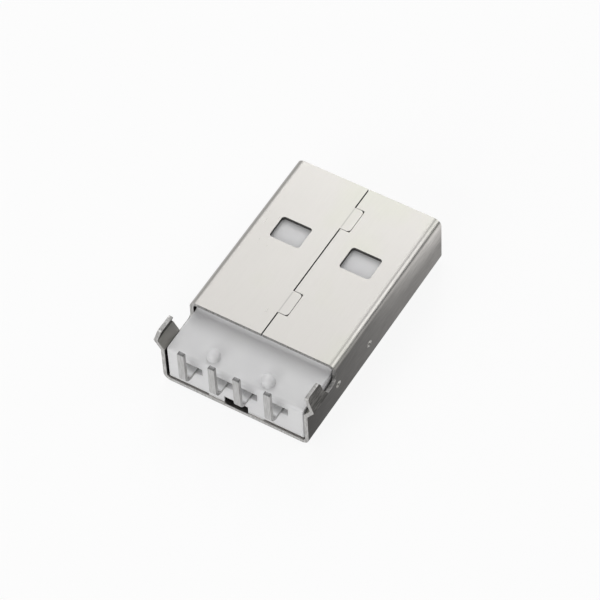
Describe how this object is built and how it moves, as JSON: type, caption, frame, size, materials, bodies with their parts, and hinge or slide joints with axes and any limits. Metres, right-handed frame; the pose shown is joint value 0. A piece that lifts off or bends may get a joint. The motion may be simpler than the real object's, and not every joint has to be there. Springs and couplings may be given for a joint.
{
  "type": "usb-a plug",
  "caption": "Right-angle through-hole USB-A plug for a circuit board: a folded metal shell round a moulded tongue, with bent pin contacts, locating pegs and kinked board locks.",
  "frame": {"origin": "under the middle of the whole part, on the plane of the plain broad face it lies on", "axes": "+Y towards the mating end, +Z from the plain face towards the circuit board, X across the plug"},
  "size_m": [0.0132, 0.02, 0.0057],
  "materials": {
    "plated_sheet": "satin nickel plate over steel sheet",
    "white_plastic": "smooth white moulded thermoplastic",
    "plated_contact": "tin plate over copper alloy"
  },
  "bodies": {
    "root": {"shell": "plated_sheet", "insulator": "white_plastic", "left_power_contact": "plated_contact", "left_signal_contact": "plated_contact", "right_signal_contact": "plated_contact", "right_power_contact": "plated_contact"}
  },
  "joints": []
}
